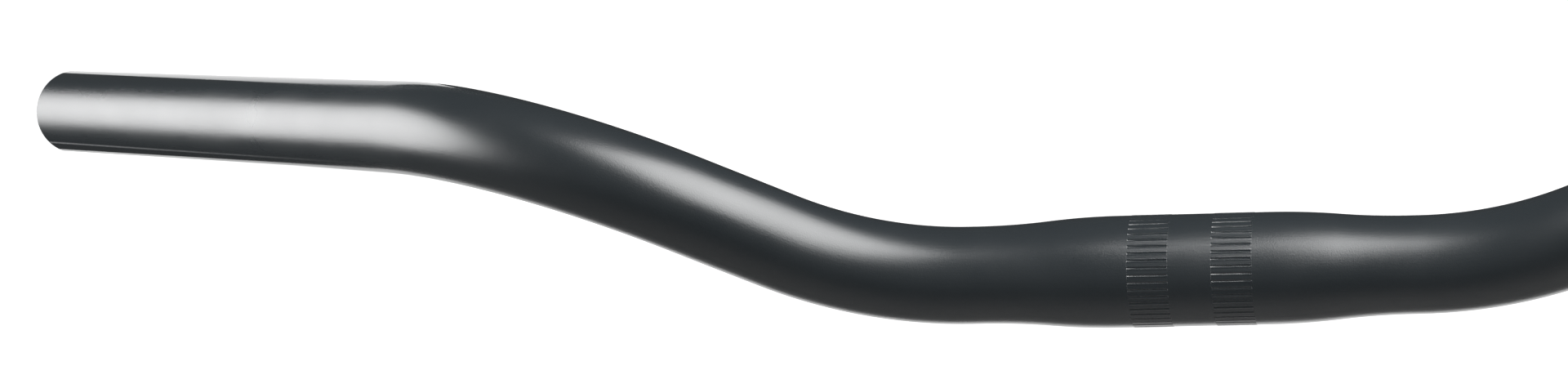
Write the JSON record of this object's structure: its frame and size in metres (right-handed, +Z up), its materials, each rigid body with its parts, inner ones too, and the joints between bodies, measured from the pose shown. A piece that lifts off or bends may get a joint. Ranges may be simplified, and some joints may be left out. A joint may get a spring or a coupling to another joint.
{
  "type": "trekking handlebar",
  "caption": "One-piece bent bicycle handlebar with a thick knurled clamp section, a low rise and grips that sweep back.",
  "frame": {"origin": "centre of the clamp section, on the bar's own axis", "axes": "+X across the bike, to the right in the picture, +Y towards the rider, +Z up; the grips are level"},
  "size_m": [0.6428, 0.1485, 0.0608],
  "materials": {
    "bar": "satin black anodised"
  },
  "bodies": {
    "root": {"handlebar": "bar"}
  },
  "joints": []
}
